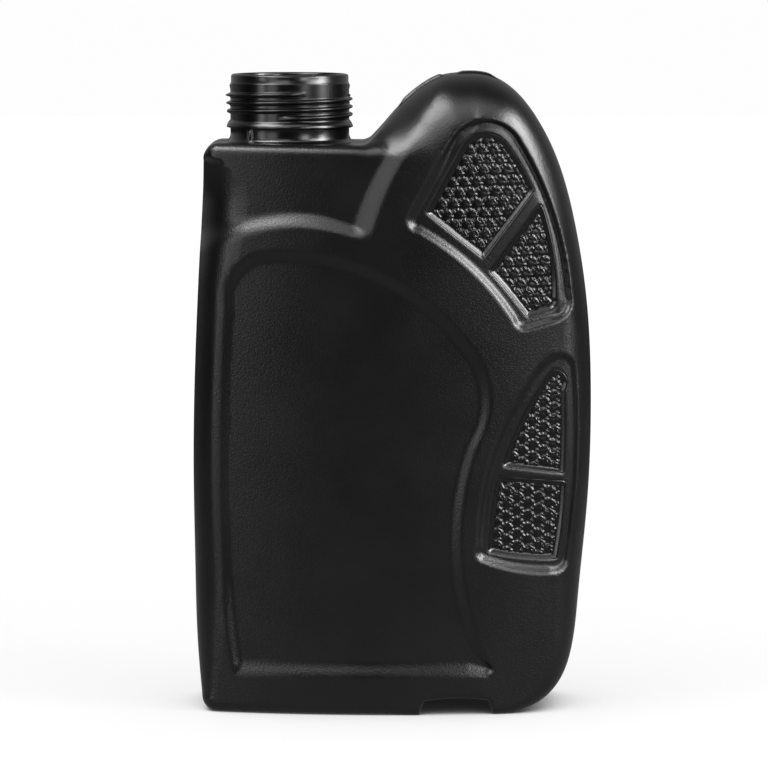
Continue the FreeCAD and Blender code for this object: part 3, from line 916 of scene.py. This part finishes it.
# %% [markdown]
# ## The table
#
# The photo has white all round and only a faint shadow close to the base. A floor that is lit until it is
# white would also light the black plastic from below. So most of the floor's white is a glow that the
# camera alone sees, and it fades where the bottle stands close over the floor: a painted contact shadow.
# Reflections in the plastic see a weaker painted glow near the base, which gives the lower edge its grey
# rim.

# %% White floor with a painted soft contact shadow
FLOOR_TONE = 0.07
GLOW_NEAR = 0.86
GLOW_FAR = 1.035
GLOW_START = 0.08
GLOW_END = 1.1
# A painted reflection: a glow that only reflections see, strongest near the base.
MIRRORED_GLOW = 0.22
MIRRORED_START = 0.1
MIRRORED_END = 0.7
# Reach and curve of the painted contact shadow on the floor's glow.
SHADE_REACH = 0.07
SHADE_CURVE = ((0.22, 0.06), (0.42, 0.62), (0.60, 0.92), (0.85, 0.985))


def shade_nodes(nodes, links):
    """How open the floor is to the sky, for the painted shadow: 0 close under the bottle, 1 well away from
    it.
    """
    shade = nodes.new("ShaderNodeAmbientOcclusion")
    shade.inputs["Distance"].default_value = SHADE_REACH
    shade.samples = 12
    curve = nodes.new("ShaderNodeValToRGB")
    curve.color_ramp.interpolation = "B_SPLINE"
    curve.color_ramp.elements[0].color = (0.0, 0.0, 0.0, 1)
    curve.color_ramp.elements[1].color = (1.0, 1.0, 1.0, 1)
    for at, tone in SHADE_CURVE:
        curve.color_ramp.elements.new(at).color = (tone, tone, tone, 1)
    links.new(shade.outputs["AO"], curve.inputs["Fac"])
    return curve.outputs["Color"]


def floor_material():
    """White floor, darker for the camera where the bottle keeps the light off it: a painted shadow."""
    material = bpy.data.materials.new("white_floor")
    nodes, links = fresh_nodes(material)
    out = nodes.new("ShaderNodeOutputMaterial")
    paint = nodes.new("ShaderNodeBsdfDiffuse")
    paint.inputs["Color"].default_value = (FLOOR_TONE, FLOOR_TONE, FLOOR_TONE, 1)
    glow = nodes.new("ShaderNodeEmission")
    path = nodes.new("ShaderNodeLightPath")
    place = nodes.new("ShaderNodeTexCoord")
    far = nodes.new("ShaderNodeVectorMath")
    far.operation = "LENGTH"
    fall = range_node(nodes, GLOW_START, GLOW_END, GLOW_NEAR, GLOW_FAR)
    near = range_node(nodes, MIRRORED_START, MIRRORED_END, MIRRORED_GLOW, 0.0)
    seen, kept, mirrored = (math_node(nodes, "MULTIPLY") for _ in range(3))
    both = math_node(nodes, "ADD")
    add = nodes.new("ShaderNodeAddShader")
    links.new(place.outputs["Object"], far.inputs[0])
    links.new(far.outputs["Value"], fall.inputs["Value"])
    links.new(far.outputs["Value"], near.inputs["Value"])
    links.new(fall.outputs["Result"], seen.inputs[0])
    links.new(path.outputs["Is Camera Ray"], seen.inputs[1])
    # Painted reflection: near the base the floor glows for reflected rays alone, which draws the lower
    # edge's grey rim.
    links.new(near.outputs["Result"], mirrored.inputs[0])
    links.new(path.outputs["Is Glossy Ray"], mirrored.inputs[1])
    links.new(seen.outputs["Value"], kept.inputs[0])
    # Painted shadow: the camera's glow is multiplied by how open the floor is, so it darkens round the base.
    links.new(shade_nodes(nodes, links), kept.inputs[1])
    links.new(kept.outputs["Value"], both.inputs[0])
    links.new(mirrored.outputs["Value"], both.inputs[1])
    links.new(both.outputs["Value"], glow.inputs["Strength"])
    links.new(paint.outputs["BSDF"], add.inputs[0])
    links.new(glow.outputs["Emission"], add.inputs[1])
    links.new(add.outputs["Shader"], out.inputs["Surface"])
    return material


floor_mesh = bpy.data.meshes.new("table_top")
floor_mesh.from_pydata([(-4, -2.5, 0), (4, -2.5, 0), (4, 5, 0), (-4, 5, 0)], [], [(0, 1, 2, 3)])
floor = bpy.data.objects.new("table_top", floor_mesh)
floor_mesh.materials.append(floor_material())
bpy.context.scene.collection.objects.link(floor)
print("floor glow from %.2f near the base to %.2f far away" % (GLOW_NEAR, GLOW_FAR))

# %% [markdown]
# ## The room
#
# The camera sees a white backdrop. Everything else sees a dark room in front of the bottle and a pale
# wall behind it. The dark front keeps the flat faces black, and the pale wall draws the thin light rim
# that the photo shows on the steep edges.

# %% Backdrop and room
BACKDROP_TONE = 0.985
ROOM_FRONT = 0.01
ROOM_BEHIND = 0.35
world = bpy.data.worlds.new("studio")
bpy.context.scene.world = world
world_nodes, world_links = fresh_nodes(world)
sky_out = world_nodes.new("ShaderNodeOutputWorld")
backdrop = world_nodes.new("ShaderNodeBackground")
backdrop.inputs["Color"].default_value = (BACKDROP_TONE, BACKDROP_TONE, BACKDROP_TONE, 1)
room = world_nodes.new("ShaderNodeBackground")
room.inputs["Color"].default_value = (1, 1, 1, 1)
around = world_nodes.new("ShaderNodeTexCoord")
split = world_nodes.new("ShaderNodeSeparateXYZ")
behind = range_node(world_nodes, 0.05, 0.6, ROOM_FRONT, ROOM_BEHIND)
eye = world_nodes.new("ShaderNodeLightPath")
either = world_nodes.new("ShaderNodeMixShader")
world_links.new(around.outputs["Generated"], split.inputs["Vector"])
world_links.new(split.outputs["Y"], behind.inputs["Value"])
world_links.new(behind.outputs["Result"], room.inputs["Strength"])
world_links.new(eye.outputs["Is Camera Ray"], either.inputs["Fac"])
world_links.new(room.outputs["Background"], either.inputs[1])
world_links.new(backdrop.outputs["Background"], either.inputs[2])
world_links.new(either.outputs["Shader"], sky_out.inputs["Surface"])
print("room from %.2f in front to %.2f behind" % (ROOM_FRONT, ROOM_BEHIND))

# %% [markdown]
# ## The lights
#
# A black satin bottle is drawn by its highlights. A large light high on the left makes the broad shine on
# the hump, a high one and a tall narrow one on the right make the streak down the handle, and weaker ones
# in front show the shoulder, the grips' walls and the texture. None stands where the flat faces would
# mirror it into the camera.

# %% Soft lights


def soft_light(name, place, aim_height, width, height, power):
    """A rectangular soft light that faces the bottle's axis at a given height."""
    data = bpy.data.lights.new(name, "AREA")
    data.shape = "RECTANGLE"
    data.size, data.size_y, data.energy = width, height, power
    lamp = bpy.data.objects.new(name, data)
    lamp.location = place
    toward = Vector((0, 0, aim_height)) - Vector(place)
    lamp.rotation_euler = toward.to_track_quat("-Z", "Y").to_euler()
    bpy.context.scene.collection.objects.link(lamp)


soft_light("light_upper_left", (-0.62, -0.36, 1.20), 0.15, 0.75, 0.60, 17.0)
soft_light("light_front_left_top", (-0.42, -1.00, 1.05), 0.15, 0.90, 0.60, 5.0)
soft_light("light_top_front", (0.12, -0.60, 1.22), 0.15, 0.90, 0.40, 2.5)
soft_light("light_left", (-1.05, -0.72, 0.35), 0.12, 0.25, 0.90, 2.6)
soft_light("light_left_front", (-0.80, -1.15, 0.35), 0.12, 0.45, 0.80, 2.4)
soft_light("light_right", (1.00, -0.50, 0.86), 0.17, 0.90, 0.60, 15.0)
soft_light("light_right_strip", (1.05, -0.42, 0.60), 0.15, 0.30, 0.80, 14.0)
soft_light("light_right_front", (0.66, -1.12, 0.50), 0.15, 0.32, 0.60, 4.5)
print("lights", len(bpy.data.lights), "watts", round(sum(light.energy for light in bpy.data.lights), 1))

# %% [markdown]
# ## The camera
#
# The photo was taken with a long lens from a little above the shoulder, so the mouth shows as a flat
# ellipse and the upright edges stay parallel. The camera stands 1.4 m away and looks down six degrees.

# %% Camera at the photo's viewing angle
CAMERA_PLACE = Vector((-0.002829, -1.392073, 0.259431))
CAMERA_AIM = Vector((-0.002829, 0, 0.110661))
LENS = 190.2
SENSOR = 36.0
camera_data = bpy.data.cameras.new("camera")
camera_data.lens = LENS
camera_data.sensor_width = SENSOR
camera_data.clip_start = 0.05
camera = bpy.data.objects.new("camera", camera_data)
camera.location = CAMERA_PLACE
camera.rotation_euler = (CAMERA_AIM - CAMERA_PLACE).to_track_quat("-Z", "Y").to_euler()
bpy.context.scene.collection.objects.link(camera)
bpy.context.scene.camera = camera
bpy.context.scene.view_settings.view_transform = "Standard"
drop = CAMERA_PLACE.z - CAMERA_AIM.z
print("camera looks down", round(math.degrees(math.atan2(drop, -CAMERA_PLACE.y)), 1), "degrees")

# %% [markdown]
# ## Handing over
#
# The bottle is one moulded piece, so every mesh here rides on the same body and stands for the same solid
# of the imported model.

# %% Hand the pieces over
for piece in (body, neck, *grips):
    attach(piece, "root")
    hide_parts("bottle")
